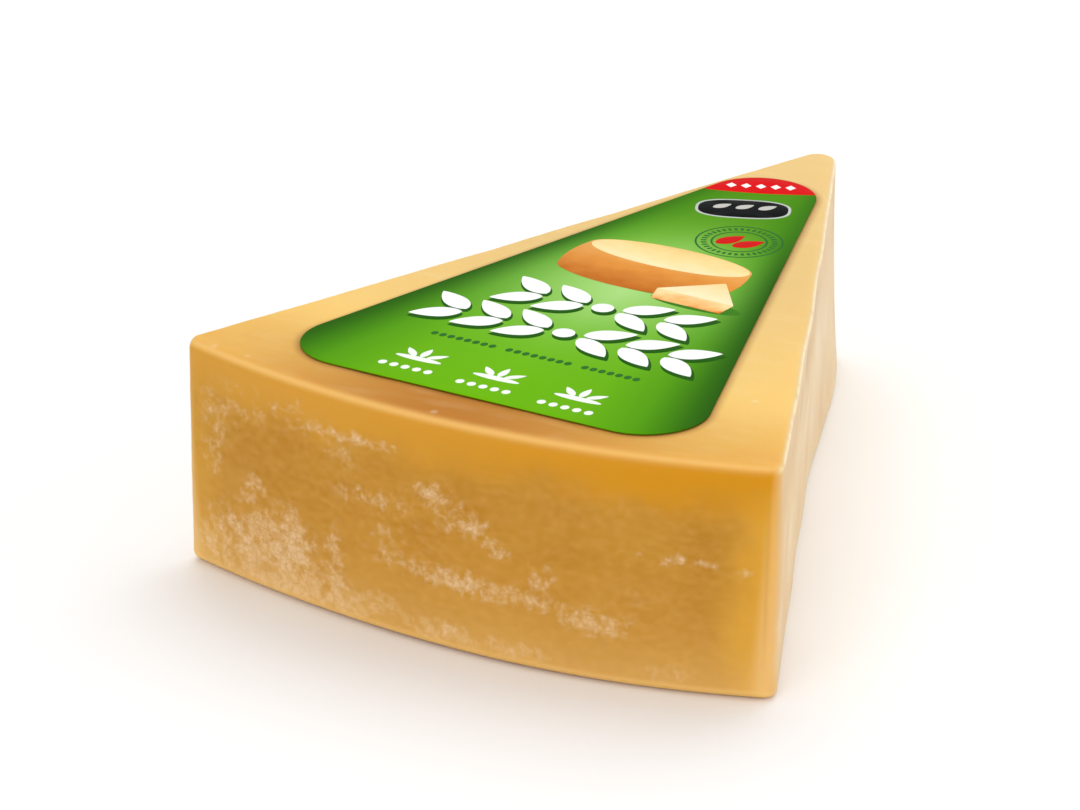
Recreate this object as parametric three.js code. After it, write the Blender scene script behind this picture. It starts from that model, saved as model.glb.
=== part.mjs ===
// A retail wedge of hard, grana-style cheese: about an eighth of a small wheel, cut through to
// half the wheel's height, vacuum packed, with a printed label stuck on its top.
// Millimetres, +Z up. The rind faces -Y, the tip points to +Y, and the origin is on the surface
// that the wedge lies on, under the centre of its footprint.

import * as THREE from 'three';

// Driving dimensions of the cheese
const HEIGHT = 35.8;
const WEDGE_ANGLE = THREE.MathUtils.degToRad(42); // between the two cut faces
const CUT_LENGTH = 135; // from the sharp tip to a sharp rind corner
const RIND_RADIUS = 144; // of the wheel's side
const TIP_RADIUS = 3.1; // upright edge at the tip
const CORNER_RADIUS = 2.2; // upright edges between rind and cut faces, no less than RIND_EDGE
const RIND_EDGE = 2.0; // rounding of the edges above and below the rind
const CUT_EDGE = 1.3; // the same along the cut faces and round the tip

// How far the real block is from a true prism
const RIND_BARREL = 0.5; // the rind swells at half height
const RIND_LEAN = 0.5; // its foot stands out on the right and in on the left
const TIP_LEAN = 2.1; // the foot near the tip is pushed towards the right-hand cut face
const TIP_LEAN_AT = 20; // most at this distance from the tip
const TIP_LEAN_REACH = 22;
const LEFT_TOP_HOLLOW = 0.35; // the top edge of the left-hand cut face bends in, most near the rind
const RIGHT_TOP_SWELL = 0.3; // that of the right-hand one bends out
const RIGHT_FOOT_HOLLOW = 0.25; // and its foot bends in
const CUT_WAVE = 0.1; // the cutting wire wandered by this much
const CUT_WAVES = 4.3; // waves along a cut face

// Shallow dents under the top edge of the right-hand cut face: [distance from the tip, height]
const DENTS = [[58, 29.5], [69, 28], [81, 30], [93, 27]];
const DENT_DEPTH = 0.55;
const DENT_LENGTH = 4.2;
const DENT_RISE = 2.6;

// Driving dimensions of the label: a triangle with three round corners, stuck on slightly turned
const LABEL_LENGTH = 128.1; // of the sharp triangle, base to apex
const LABEL_BASE = 71.1;
const LABEL_APEX_ASIDE = -3.9; // the apex stands left of the middle of the base
const LABEL_CORNERS = { base: 9.6, apex: 9.0 };
const LABEL_THICKNESS = 0.2;
const LABEL_GLUE = 0.05; // film and glue under it
const LABEL_BASE_FROM_TIP = 125.6; // middle of its base, measured from the sharp tip
const LABEL_ASIDE = -0.7;
const LABEL_TURN = THREE.MathUtils.degToRad(-2.2);

// Fineness of the solid
const STEPS = { tip: 8, side: 34, corner: 6, rind: 30, fillet: 4, wall: 10, labelCorner: 12 };

const halfAngle = WEDGE_ANGLE / 2;
const smoothBell = (distance, reach) => Math.exp(-((distance / reach) ** 2));

// One point of the plan outline: where it is, which way is out, and which face it belongs to.
const rimPoint = (centre, radius, angle, face) => ({
  at: new THREE.Vector2(Math.cos(angle), Math.sin(angle)).multiplyScalar(radius).add(centre),
  out: new THREE.Vector2(Math.cos(angle), Math.sin(angle)),
  face,
  edge: CUT_EDGE, // radius of the rounding above and below it
  along: 0, // share of the stretch that lies before it
});

// The points of an arc, without its last one, which the next stretch begins with. The rounding
// above and below it may change on the way.
function arcPoints(centre, radius, [from, to], steps, face, [edgeFrom, edgeTo]) {
  return Array.from({ length: steps }, (_, i) => ({
    ...rimPoint(centre, radius, THREE.MathUtils.lerp(from, to, i / steps), face),
    edge: THREE.MathUtils.lerp(edgeFrom, edgeTo, i / steps),
    along: i / steps,
  }));
}

// The points of a straight cut between the ends of two arcs that it touches.
function cutPoints(start, end, steps, face) {
  return Array.from({ length: steps }, (_, i) => (
    { ...start, at: start.at.clone().lerp(end.at, i / steps), face, along: i / steps }));
}

// The outline in plan, counter-clockwise, with the sharp tip at (0, 0) and the rind towards -Y.
function planOutline() {
  const rightOut = halfAngle; // direction in which the right-hand cut face looks
  const leftOut = Math.PI - halfAngle;
  const chordY = -CUT_LENGTH * Math.cos(halfAngle);
  const halfChord = CUT_LENGTH * Math.sin(halfAngle);
  const rindCentre = new THREE.Vector2(0, chordY + Math.sqrt(RIND_RADIUS ** 2 - halfChord ** 2));
  const tipCentre = new THREE.Vector2(0, -TIP_RADIUS / Math.sin(halfAngle));

  // A corner's centre is one corner radius inside both the cut face and the rind.
  const along = new THREE.Vector2(Math.sin(halfAngle), -Math.cos(halfAngle));
  const inward = new THREE.Vector2(-Math.cos(halfAngle), -Math.sin(halfAngle));
  const start = inward.clone().multiplyScalar(CORNER_RADIUS).sub(rindCentre);
  const b = start.dot(along);
  const c = start.lengthSq() - (RIND_RADIUS - CORNER_RADIUS) ** 2;
  const rightCentre = along.clone().multiplyScalar(-b + Math.sqrt(b * b - c))
    .addScaledVector(inward, CORNER_RADIUS);
  const leftCentre = new THREE.Vector2(-rightCentre.x, rightCentre.y);
  const rindOut = Math.atan2(rightCentre.y - rindCentre.y, rightCentre.x - rindCentre.x);
  const leftRindOut = -Math.PI - rindOut;

  // Directions fall from the left cut face, round by the tip and the right one, to the rind.
  const touchRight = (centre, radius) => rimPoint(centre, radius, rightOut);
  const touchLeft = (centre, radius) => rimPoint(centre, radius, leftOut);
  const clockwise = [
    ...arcPoints(tipCentre, TIP_RADIUS, [leftOut, rightOut], STEPS.tip, 'tip', [CUT_EDGE, CUT_EDGE]),
    ...cutPoints(touchRight(tipCentre, TIP_RADIUS), touchRight(rightCentre, CORNER_RADIUS),
      STEPS.side, 'right'),
    ...arcPoints(rightCentre, CORNER_RADIUS, [rightOut, rindOut], STEPS.corner, 'rightCorner',
      [CUT_EDGE, RIND_EDGE]),
    ...arcPoints(rindCentre, RIND_RADIUS, [rindOut, leftRindOut], STEPS.rind, 'rind',
      [RIND_EDGE, RIND_EDGE]),
    ...arcPoints(leftCentre, CORNER_RADIUS, [leftRindOut, -Math.PI - rightOut], STEPS.corner,
      'leftCorner', [RIND_EDGE, CUT_EDGE]),
    ...cutPoints(touchLeft(leftCentre, CORNER_RADIUS), touchLeft(tipCentre, TIP_RADIUS),
      STEPS.side, 'left'),
  ];
  return clockwise.reverse();
}

// How far the real surface stands out from the true prism at an outline point and a height.
function relief(point, z) {
  const up = z / HEIGHT;
  if (point.face === 'rind') {
    const fromMiddle = point.at.x / (CUT_LENGTH * Math.sin(halfAngle));
    return RIND_BARREL * 4 * up * (1 - up) + RIND_LEAN * (1 - up) * Math.sin(Math.PI * fromMiddle);
  }
  if (point.face !== 'right' && point.face !== 'left') return 0;
  const bow = Math.sin(Math.PI * point.along);
  const wave = CUT_WAVE * bow * Math.sin(2 * Math.PI * CUT_WAVES * point.along - up);
  if (point.face === 'left') return wave - LEFT_TOP_HOLLOW * bow * up * 2 * (1 - point.along);
  const fromTip = -point.at.y / Math.cos(halfAngle);
  const dents = DENTS.reduce((sum, [along, height]) =>
    sum + DENT_DEPTH * smoothBell(fromTip - along, DENT_LENGTH) * smoothBell(z - height, DENT_RISE), 0);
  return wave + bow * (RIGHT_TOP_SWELL * up - RIGHT_FOOT_HOLLOW * (1 - up)) - dents;
}

// Where the surface passes an outline point on its way up: round the bottom edge, up the wall and
// round the top edge, for `up` from 0 to 3. The block's unevenness moves it in plan.
function surfacePoint(point, up) {
  const roundness = Math.PI / 2 * (up < 1 ? up : Math.max(0, up - 2));
  const inset = point.edge * (up < 1 ? 1 - Math.sin(roundness) : 1 - Math.cos(roundness));
  const z = up < 1
    ? point.edge * (1 - Math.cos(roundness))
    : THREE.MathUtils.lerp(point.edge, HEIGHT - point.edge, Math.min(1, up - 1))
      + point.edge * Math.sin(roundness);
  const lean = TIP_LEAN * (1 - z / HEIGHT) ** 2 * smoothBell(point.at.y + TIP_LEAN_AT, TIP_LEAN_REACH);
  const moved = point.at.clone().addScaledVector(point.out, relief(point, z) - inset);
  return new THREE.Vector3(moved.x + lean * Math.cos(halfAngle), moved.y + lean * Math.sin(halfAngle), z);
}

// Which outline points the flat foot's few corners lie under, so that the block stands steadily on
// points that are far apart: the tip, both corners, and three along the rind.
function footCorners(outline) {
  const on = (face, share) => {
    const first = outline.findIndex((point) => point.face === face);
    return first + Math.round(share * (outline.filter((point) => point.face === face).length - 1));
  };
  return [on('tip', 0.5), on('leftCorner', 0.5), on('rind', 0.25), on('rind', 0.5), on('rind', 0.75),
    on('rightCorner', 0.5)].sort((a, b) => a - b);
}

// The cheese as one closed body: a flat foot with few corners, rings joined by a wall, a flat top.
function cheeseGeometry() {
  const outline = planOutline();
  const count = outline.length;
  const stretch = (start, steps) => Array.from({ length: steps }, (_, i) => start + i / steps);
  const levels = [...stretch(0, STEPS.fillet).slice(1), ...stretch(1, STEPS.wall),
    ...stretch(2, STEPS.fillet), 3];
  const rings = levels.map((up) => outline.map((point) => surfacePoint(point, up)));
  const corners = footCorners(outline);
  const foot = corners.map((i) => surfacePoint(outline[i], 0));
  const faces = [];

  // The wall, from the first ring above the foot to the top one.
  for (let ring = 0; ring < rings.length - 1; ring++) {
    for (let i = 0; i < count; i++) {
      const here = ring * count + i;
      const next = ring * count + (i + 1) % count;
      faces.push(here, next, next + count, here, next + count, here + count);
    }
  }

  // The foot's corners follow the rings, and each point of the first ring hangs on the nearest one.
  const footStart = rings.length * count;
  const apart = (a, b) => Math.min(Math.abs(a - b), count - Math.abs(a - b));
  const nearest = (i) => corners.reduce((best, corner, k) =>
    (apart(i, corner) < apart(i, corners[best]) ? k : best), 0);
  for (let i = 0; i < count; i++) {
    const next = (i + 1) % count;
    const [from, to] = [footStart + nearest(i), footStart + nearest(next)];
    faces.push(from, next, i);
    if (from !== to) faces.push(from, to, next);
  }
  for (let k = 1; k < corners.length - 1; k++) faces.push(footStart, footStart + k + 1, footStart + k);

  const last = (rings.length - 1) * count;
  const topOutline = rings.at(-1).map((p) => new THREE.Vector2(p.x, p.y));
  for (const triangle of THREE.ShapeUtils.triangulateShape(topOutline, [])) {
    faces.push(...triangle.map((i) => last + i));
  }
  const geometry = new THREE.BufferGeometry().setFromPoints([...rings.flat(), ...foot]);
  geometry.setIndex(faces);
  geometry.computeVertexNormals();
  return geometry;
}

// A closed outline with each sharp corner replaced by an arc that touches both of its sides.
function roundedShape(corners) {
  const shape = new THREE.Shape();
  corners.forEach(({ at, radius }, i) => {
    const before = corners.at(i - 1).at.clone().sub(at).normalize();
    const after = corners[(i + 1) % corners.length].at.clone().sub(at).normalize();
    const halfCorner = Math.acos(before.dot(after)) / 2;
    const centre = before.clone().add(after).setLength(radius / Math.sin(halfCorner)).add(at);
    const from = before.clone().rotateAround(new THREE.Vector2(), Math.PI / 2).angle();
    const to = after.clone().rotateAround(new THREE.Vector2(), -Math.PI / 2).angle();
    shape.absarc(centre.x, centre.y, radius, from, to, false);
  });
  return shape;
}

// The label's outline, counter-clockwise, with the middle of its base at (0, 0).
function labelShape() {
  const corner = (x, y, radius) => ({ at: new THREE.Vector2(x, y), radius });
  return roundedShape([
    corner(-LABEL_BASE / 2, 0, LABEL_CORNERS.base),
    corner(LABEL_BASE / 2, 0, LABEL_CORNERS.base),
    corner(LABEL_APEX_ASIDE, LABEL_LENGTH, LABEL_CORNERS.apex),
  ]);
}

function cheeseMesh() {
  const material = new THREE.MeshStandardMaterial({ color: '#d9a24a', roughness: 0.5, metalness: 0 });
  const mesh = new THREE.Mesh(cheeseGeometry(), material);
  mesh.name = 'cheese_wedge';
  return mesh;
}

function labelMesh() {
  const material = new THREE.MeshStandardMaterial({ color: '#58a818', roughness: 0.4, metalness: 0 });
  const geometry = new THREE.ExtrudeGeometry(labelShape(), {
    depth: LABEL_THICKNESS, bevelEnabled: false, curveSegments: STEPS.labelCorner,
  });
  const mesh = new THREE.Mesh(geometry, material);
  mesh.name = 'label';
  mesh.rotation.z = LABEL_TURN;
  mesh.position.set(LABEL_ASIDE, -LABEL_BASE_FROM_TIP, HEIGHT + LABEL_GLUE);
  return mesh;
}

// The sharp tip is moved so that the footprint's box is centred on the origin.
const cheese = cheeseMesh();
cheese.geometry.computeBoundingBox();
const footprint = cheese.geometry.boundingBox.getCenter(new THREE.Vector3());
const wedge = new THREE.Group().add(cheese, labelMesh());
wedge.position.set(-footprint.x, -footprint.y, 0);

export default new THREE.Group().add(wedge);
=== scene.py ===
"""A vacuum-packed wedge of hard cheese with a printed label, dressed around its CAD frame.
Metres, +Z up. The rind faces -Y and the tip points to +Y."""

import math

import bpy
import numpy as np
from mathutils import Matrix


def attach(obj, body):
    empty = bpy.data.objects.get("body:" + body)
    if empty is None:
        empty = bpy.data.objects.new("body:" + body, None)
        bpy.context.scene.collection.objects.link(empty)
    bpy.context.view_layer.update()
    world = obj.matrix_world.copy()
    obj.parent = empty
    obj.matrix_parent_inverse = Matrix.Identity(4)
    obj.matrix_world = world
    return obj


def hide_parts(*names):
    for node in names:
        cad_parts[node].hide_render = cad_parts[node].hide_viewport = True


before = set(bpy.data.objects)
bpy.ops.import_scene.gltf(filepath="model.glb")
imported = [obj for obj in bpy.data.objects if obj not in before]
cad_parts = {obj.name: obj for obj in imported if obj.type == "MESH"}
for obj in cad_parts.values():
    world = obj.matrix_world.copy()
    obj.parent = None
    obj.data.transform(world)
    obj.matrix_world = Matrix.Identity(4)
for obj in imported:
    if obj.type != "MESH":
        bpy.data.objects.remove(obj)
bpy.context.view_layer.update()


# ---- Studio ----------------------------------------------------------------------------------
# The wedge lies on matt white paper, which has no gloss, in a white room under three large soft
# lights. A long lens looks at it from the right of the rind, 23 degrees above the floor.

MM = 0.001
CAMERA_AT = (249.318 * MM, -508.942 * MM, 254.649 * MM)
CAMERA_TURN = 0.4848
CAMERA_TILT = 0.4017
CAMERA_ROLL = 0.0122
LENS = 133.333
SENSOR = 36.0


def linear(hex_colour):
    """An sRGB hex value as linear red, green, blue and an alpha of one."""
    channels = np.array([int(hex_colour[i:i + 2], 16) for i in (1, 3, 5)]) / 255
    low = channels / 12.92
    high = ((channels + 0.055) / 1.055) ** 2.4
    return (*np.where(channels <= 0.04045, low, high).tolist(), 1.0)


def add(tree, kind, inputs=(), stops=(), **settings):
    """Adds a node. Its inputs map a socket's name or number to a value, to a hex colour, or to a
    node or an output that is linked to it. Sockets 0, 1 and 2 of Math are its numbers in order.
    Map Range takes socket 0 from the range of 1 and 2 to that of 3 and 4, which is from zero to
    one if not given. Stops are a colour ramp's, as pairs of position and hex colour."""
    node = tree.nodes.new("ShaderNode" + kind)
    for option, value in settings.items():
        setattr(node, option, value)
    for socket, value in dict(inputs).items():
        if isinstance(value, str):
            value = linear(value)
        if isinstance(value, bpy.types.Node):
            value = value.outputs[0]
        if isinstance(value, bpy.types.NodeSocket):
            tree.links.new(value, node.inputs[socket])
        else:
            node.inputs[socket].default_value = value
    if stops:
        elements = node.color_ramp.elements
        for position, colour in stops[2:]:
            elements.new(position)
        for element, (position, colour) in zip(elements, stops):
            element.position = position
            element.color = linear(colour)
    return node


def empty_tree(owner):
    """The node tree of a material or a world, with its nodes removed."""
    owner.use_nodes = True
    owner.node_tree.nodes.clear()
    return owner.node_tree


def softbox(name, place, aim, width, height, watts):
    """A rectangular white area light at a place, turned towards a point."""
    lamp = bpy.data.lights.new(name, "AREA")
    lamp.shape = "RECTANGLE"
    lamp.size = width
    lamp.size_y = height
    lamp.energy = watts
    light = bpy.data.objects.new(name, lamp)
    bpy.context.scene.collection.objects.link(light)
    back = np.array(place) - np.array(aim)
    back = back / np.linalg.norm(back)
    side = np.cross((0, 0, 1), back)
    side = side / np.linalg.norm(side)
    turn = Matrix(np.column_stack((side, np.cross(back, side), back)).tolist()).to_4x4()
    light.matrix_world = Matrix.Translation(place) @ turn


camera = bpy.data.objects.new("camera", bpy.data.cameras.new("camera"))
bpy.context.scene.collection.objects.link(camera)
camera.data.lens = LENS
camera.data.sensor_width = SENSOR
camera.data.sensor_fit = "HORIZONTAL"
camera.matrix_world = (
    Matrix.Translation(CAMERA_AT)
    @ Matrix.Rotation(CAMERA_TURN, 4, "Z")
    @ Matrix.Rotation(math.pi / 2 - CAMERA_TILT, 4, "X")
    @ Matrix.Rotation(CAMERA_ROLL, 4, "Z")
)
bpy.context.scene.camera = camera
bpy.context.scene.view_settings.view_transform = "Standard"

room = bpy.data.worlds.new("white_room")
bpy.context.scene.world = room
tree = empty_tree(room)
walls = add(tree, "Background", {"Color": "#ffffff", "Strength": 0.66})
add(tree, "OutputWorld", {"Surface": walls})

MIDDLE = (0, 0, 0.02)
softbox("top_softbox", (-0.10, 0.35, 0.80), MIDDLE, width=0.9, height=0.7, watts=3.3)
softbox("right_softbox", (0.75, 0.15, 0.35), MIDDLE, width=0.6, height=0.6, watts=1.15)
softbox("front_softbox", (0.12, -1.05, 0.40), MIDDLE, width=1.0, height=0.7, watts=4.4)

FLOOR_HALF = 3.0
FLOOR_DROP = 0.05 * MM
floor_mesh = bpy.data.meshes.new("floor")
floor_mesh.from_pydata(
    [(x * FLOOR_HALF, y * FLOOR_HALF, -FLOOR_DROP) for x, y in ((-1, -1), (1, -1), (1, 1), (-1, 1))],
    [], [(0, 1, 2, 3)])
floor = bpy.data.objects.new("floor", floor_mesh)
bpy.context.scene.collection.objects.link(floor)
paper = bpy.data.materials.new("matt_white_backdrop_paper")
tree = empty_tree(paper)
shade = add(tree, "BsdfPrincipled", {"Base Color": "#fafafa", "Roughness": 0.9})
add(tree, "OutputMaterial", {"Surface": shade})
floor_mesh.materials.append(paper)


# ---- Cheese ----------------------------------------------------------------------------------
# Hard cow's-milk cheese, an eighth of a small wheel at half its height: a waxy golden rind in front
# and paler, fine-grained paste on the two upright cuts and on the flat top, where it darkens
# towards the rind. The block was cut with a wire, so it is a little uneven.

HEIGHT = 35.8 * MM
HALF_ANGLE = math.radians(21)
CUT_LENGTH = 135 * MM
RIND_RADIUS = 144 * MM
TIP_RADIUS = 3.1 * MM
CORNER_RADIUS = 2.2 * MM
RIND_EDGE = 2.0 * MM
CUT_EDGE = 1.3 * MM
RIND_BARREL = 0.5 * MM
RIND_LEAN = 0.5 * MM
TIP_LEAN = 2.1 * MM
TIP_LEAN_AT = 20 * MM
TIP_LEAN_REACH = 22 * MM
LEFT_TOP_HOLLOW = 0.35 * MM
RIGHT_TOP_SWELL = 0.3 * MM
RIGHT_FOOT_HOLLOW = 0.25 * MM
CUT_WAVE = 0.1 * MM
CUT_WAVES = 4.3
DENTS = ((58 * MM, 29.5 * MM), (69 * MM, 28 * MM), (81 * MM, 30 * MM), (93 * MM, 27 * MM))
DENT_DEPTH = 0.55 * MM
DENT_LENGTH = 4.2 * MM
DENT_RISE = 2.6 * MM

EVEN_BY_RING = 6  # rings of the flat foot and top until its points are evenly spaced
TIP, RIGHT_CUT, RIGHT_CORNER, RIND, LEFT_CORNER, LEFT_CUT = range(6)  # the faces round the block

CHORD_Y = -CUT_LENGTH * math.cos(HALF_ANGLE)
HALF_CHORD = CUT_LENGTH * math.sin(HALF_ANGLE)
RIND_CENTRE = np.array((0, CHORD_Y + math.sqrt(RIND_RADIUS ** 2 - HALF_CHORD ** 2)))


def bell(distance, reach):
    """A smooth bump: one at no distance, and falling off as the square in an exponent."""
    return np.exp(-(distance / reach) ** 2)


def smooth(x, low, high):
    """Zero below low, one above high, and the cubic step between them."""
    t = np.clip((x - low) / (high - low), 0, 1)
    return t * t * (3 - 2 * t)


def outline(steps):
    """The block's plan, counter-clockwise, as one row a point: x, y, the direction in which the
    surface looks, the rounding of its edges, the share of its stretch, which is counted clockwise,
    and the face it is on. Each corner's centre is one corner radius inside both the cut and the
    rind, where a line inside the cut meets a circle inside the rind."""
    tip_centre = np.array((0, -TIP_RADIUS / math.sin(HALF_ANGLE)))
    along = np.array((math.sin(HALF_ANGLE), -math.cos(HALF_ANGLE)))
    inward = np.array((-math.cos(HALF_ANGLE), -math.sin(HALF_ANGLE)))
    start = inward * CORNER_RADIUS - RIND_CENTRE
    ahead = start @ along
    beyond = start @ start - (RIND_RADIUS - CORNER_RADIUS) ** 2
    right_centre = along * (-ahead + math.sqrt(ahead * ahead - beyond)) + inward * CORNER_RADIUS
    left_centre = right_centre * (-1, 1)
    right_out, left_out = HALF_ANGLE, math.pi - HALF_ANGLE
    rind_out = math.atan2(*(right_centre - RIND_CENTRE)[::-1])

    def arc(face, centre, radius, first, last, count, edges):
        """Points on a circle. Direction and edge rounding change evenly from first to last."""
        share = np.arange(count) / count
        angle = first + (last - first) * share
        edge = edges[0] + (edges[1] - edges[0]) * share
        at = centre + radius * np.column_stack((np.cos(angle), np.sin(angle)))
        return np.column_stack((at, angle, edge, share, np.full(count, face)))

    def straight(face, angle, first, last, count):
        """Points evenly spaced on the line that touches two circles, each a centre and radius."""
        share = np.arange(count) / count
        out = np.array((math.cos(angle), math.sin(angle)))
        begin = first[0] + first[1] * out
        end = last[0] + last[1] * out
        at = begin + np.outer(share, end - begin)
        same = np.ones(count)
        return np.column_stack((at, angle * same, CUT_EDGE * same, share, face * same))

    tip = (tip_centre, TIP_RADIUS)
    right = (right_centre, CORNER_RADIUS)
    left = (left_centre, CORNER_RADIUS)
    cut, edge = CUT_EDGE, RIND_EDGE
    clockwise = np.vstack((
        arc(TIP, *tip, left_out, right_out, steps["tip"], (cut, cut)),
        straight(RIGHT_CUT, right_out, tip, right, steps["side"]),
        arc(RIGHT_CORNER, *right, right_out, rind_out, steps["corner"], (cut, edge)),
        arc(RIND, RIND_CENTRE, RIND_RADIUS, rind_out, -math.pi - rind_out, steps["rind"],
            (edge, edge)),
        arc(LEFT_CORNER, *left, -math.pi - rind_out, -math.pi - right_out, steps["corner"],
            (edge, cut)),
        straight(LEFT_CUT, left_out, left, tip, steps["side"]),
    ))
    return clockwise[::-1]


def block_rings(plan, inset, levels, cap_rings, texture):
    """The block as rings of points from the middle of its foot to the middle of its top. A level
    from 0 to 3 climbs round the bottom edge, up the wall and round the top edge, as quarter
    circles and a line. Everything lies `inset` inside the block's own form, and
    `texture(points, out)` gives the fine relief, which only goes in. Foot and top are covered by
    the outline shrunk towards its middle, its points soon evenly spaced."""
    x, y, angle, edge, share, face = plan.T
    out = np.stack((np.cos(angle), np.sin(angle)))
    up = levels[:, None]
    turn = math.pi / 2 * np.where(up < 1, up, np.maximum(0, up - 2))
    low = up < 1
    back = edge * np.where(low, 1 - np.sin(turn), 1 - np.cos(turn))
    wall = edge + (HEIGHT - 2 * edge) * np.clip(up - 1, 0, 1)
    z = np.where(low, edge * (1 - np.cos(turn)), wall + edge * np.sin(turn))
    high = z / HEIGHT

    # The rind bulges as a parabola over its height, and its foot leans as a sine across it. Both
    # cuts carry a sine wave. The left one is hollow towards its top near the rind. The right one
    # swells at its top, and is hollow at its foot and in its dents. Near the tip the foot leans out.
    bow = np.sin(math.pi * share)
    wave = CUT_WAVE * bow * np.sin(2 * math.pi * CUT_WAVES * share - high)
    rind = RIND_BARREL * 4 * high * (1 - high) + RIND_LEAN * (1 - high) * np.sin(
        math.pi * x / HALF_CHORD)
    left = wave - LEFT_TOP_HOLLOW * bow * high * 2 * (1 - share)
    from_tip = -y / math.cos(HALF_ANGLE)
    dents = sum(DENT_DEPTH * bell(from_tip - at, DENT_LENGTH) * bell(z - height, DENT_RISE)
                for at, height in DENTS)
    right = wave + bow * (RIGHT_TOP_SWELL * high - RIGHT_FOOT_HOLLOW * (1 - high)) - dents
    relief = np.select((face == RIND, face == LEFT_CUT, face == RIGHT_CUT), (rind, left, right), 0.0)
    lean = TIP_LEAN * (1 - high) ** 2 * bell(y + TIP_LEAN_AT, TIP_LEAN_REACH)

    moved = relief - back
    place = np.stack((x + out[0] * moved + lean * math.cos(HALF_ANGLE),
                      y + out[1] * moved + lean * math.sin(HALF_ANGLE),
                      z + 0 * x), axis=-1)
    sideways = np.where(low, np.sin(turn), np.cos(turn))
    upright = np.where(low, -np.cos(turn), np.sin(turn))
    normal = np.stack((out[0] * sideways, out[1] * sideways, upright + 0 * x), axis=-1)

    def cap(ring, facing):
        """Smaller and smaller copies of a ring, and the direction in which they face."""
        corners = np.vstack((ring, ring[:1]))
        length = np.concatenate(((0,), np.cumsum(np.linalg.norm(np.diff(corners, axis=0), axis=1))))
        even = length[-1] * np.arange(len(ring)) / len(ring)
        rows = np.arange(1, cap_rings)[:, None]
        evenness = smooth(rows, 0, EVEN_BY_RING)
        spot = length[:-1] * (1 - evenness) + even * evenness
        rim = np.stack([np.interp(spot, length, corners[:, axis]) for axis in range(3)], axis=-1)
        middle = ring.mean(axis=0)
        points = middle + (rim - middle) * (1 - rows[..., None] / cap_rings)
        return points, np.broadcast_to((0.0, 0.0, facing), points.shape)

    foot, foot_normal = cap(place[0], -1.0)
    lid, lid_normal = cap(place[-1], 1.0)
    points = np.concatenate((foot[::-1], place, lid))
    normals = np.concatenate((foot_normal, normal, lid_normal))
    depth = inset + texture(points, normals)
    points = points - normals * depth[..., None]
    poles = [np.broadcast_to(ring.mean(axis=0), ring.shape) for ring in (points[0], points[-1])]
    return np.concatenate((poles[:1], points, poles[1:]))


def closed_surface(name, shells):
    """One mesh of closed shells. A shell is a stack of rings of equally many points, which starts
    and ends with a ring gathered in a pole, and whose rings run counter-clockwise seen from the
    last pole. Neighbouring rings are joined by four-sided faces, and the poles by triangles."""
    points, loops, sizes, offset = [], [], [], 0
    for rings in shells:
        rows, count = rings.shape[0] - 2, rings.shape[1]
        points.append(np.vstack((rings[0, :1], rings[1:-1].reshape(-1, 3), rings[-1, :1])))
        here = 1 + np.arange(rows * count).reshape(rows, count)
        beside = np.roll(here, -1, axis=1)
        walls = np.stack((here[:-1], beside[:-1], beside[1:], here[1:]), axis=-1).reshape(-1)
        first = np.stack((0 * here[0], beside[0], here[0]), axis=-1).reshape(-1)
        last = np.stack((0 * here[-1] + rows * count + 1, here[-1], beside[-1]), axis=-1).reshape(-1)
        loops.append(offset + np.concatenate((walls, first, last)))
        sizes.append(np.repeat((4, 3), ((rows - 1) * count, 2 * count)))
        offset += rows * count + 2
    points, loops, sizes = np.vstack(points), np.concatenate(loops), np.concatenate(sizes)
    mesh = bpy.data.meshes.new(name)
    mesh.vertices.add(len(points))
    mesh.vertices.foreach_set("co", points.astype(np.float32).ravel())
    mesh.loops.add(len(loops))
    mesh.loops.foreach_set("vertex_index", loops.astype(np.int32))
    mesh.polygons.add(len(sizes))
    starts = np.concatenate(((0,), np.cumsum(sizes)[:-1]))
    mesh.polygons.foreach_set("loop_start", starts.astype(np.int32))
    mesh.update(calc_edges=True)
    mesh.validate()
    mesh.shade_smooth()
    piece = bpy.data.objects.new(name, mesh)
    bpy.context.scene.collection.objects.link(piece)
    return piece


def ripple(points, size, seed, count=24):
    """A smooth unevenness from -1 to 1 with humps of about one size: the mean of cosine waves
    that run in seeded random directions, with lengths from 0.7 to 1.4 times twice the size."""
    draw = np.random.default_rng(seed)
    direction = draw.normal(size=(count, 3))
    direction /= np.linalg.norm(direction, axis=1, keepdims=True)
    number = math.pi / size / draw.uniform(0.7, 1.4, (count, 1))
    phase = draw.uniform(0, 2 * math.pi, count)
    waves = np.cos(points @ (direction * number).T + phase)
    return np.clip(waves.mean(axis=-1) * math.sqrt(count) / 2, -1, 1)


def store(piece, name, values):
    """Keeps one number a vertex on a piece: the pole, the rings and the other pole."""
    inner = values[1:-1].reshape(-1)
    numbers = np.concatenate((values[0, :1], inner, values[-1, :1]))
    attribute = piece.data.attributes.new(name, "FLOAT", "POINT")
    attribute.data.foreach_set("value", numbers.astype(np.float32))


CHEESE_INSET = 0.08 * MM
STEPS = {"tip": 20, "side": 190, "corner": 14, "rind": 190}
FILLET_LEVELS = 9
WALL_LEVELS = 64
CAP_RINGS = 24

plan = outline(STEPS)
levels = np.concatenate((np.arange(FILLET_LEVELS) / FILLET_LEVELS,
                         1 + np.arange(WALL_LEVELS) / WALL_LEVELS,
                         2 + np.arange(FILLET_LEVELS + 1) / FILLET_LEVELS))


HUMP, HUMP_DEPTH = 6 * MM, 0.10 * MM
GRAIN, GRAIN_DEPTH = 1.6 * MM, 0.04 * MM
HOLLOW, HOLLOW_DEPTH = 7 * MM, 0.3 * MM
FLAT_FOOT = 3 * MM


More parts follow.
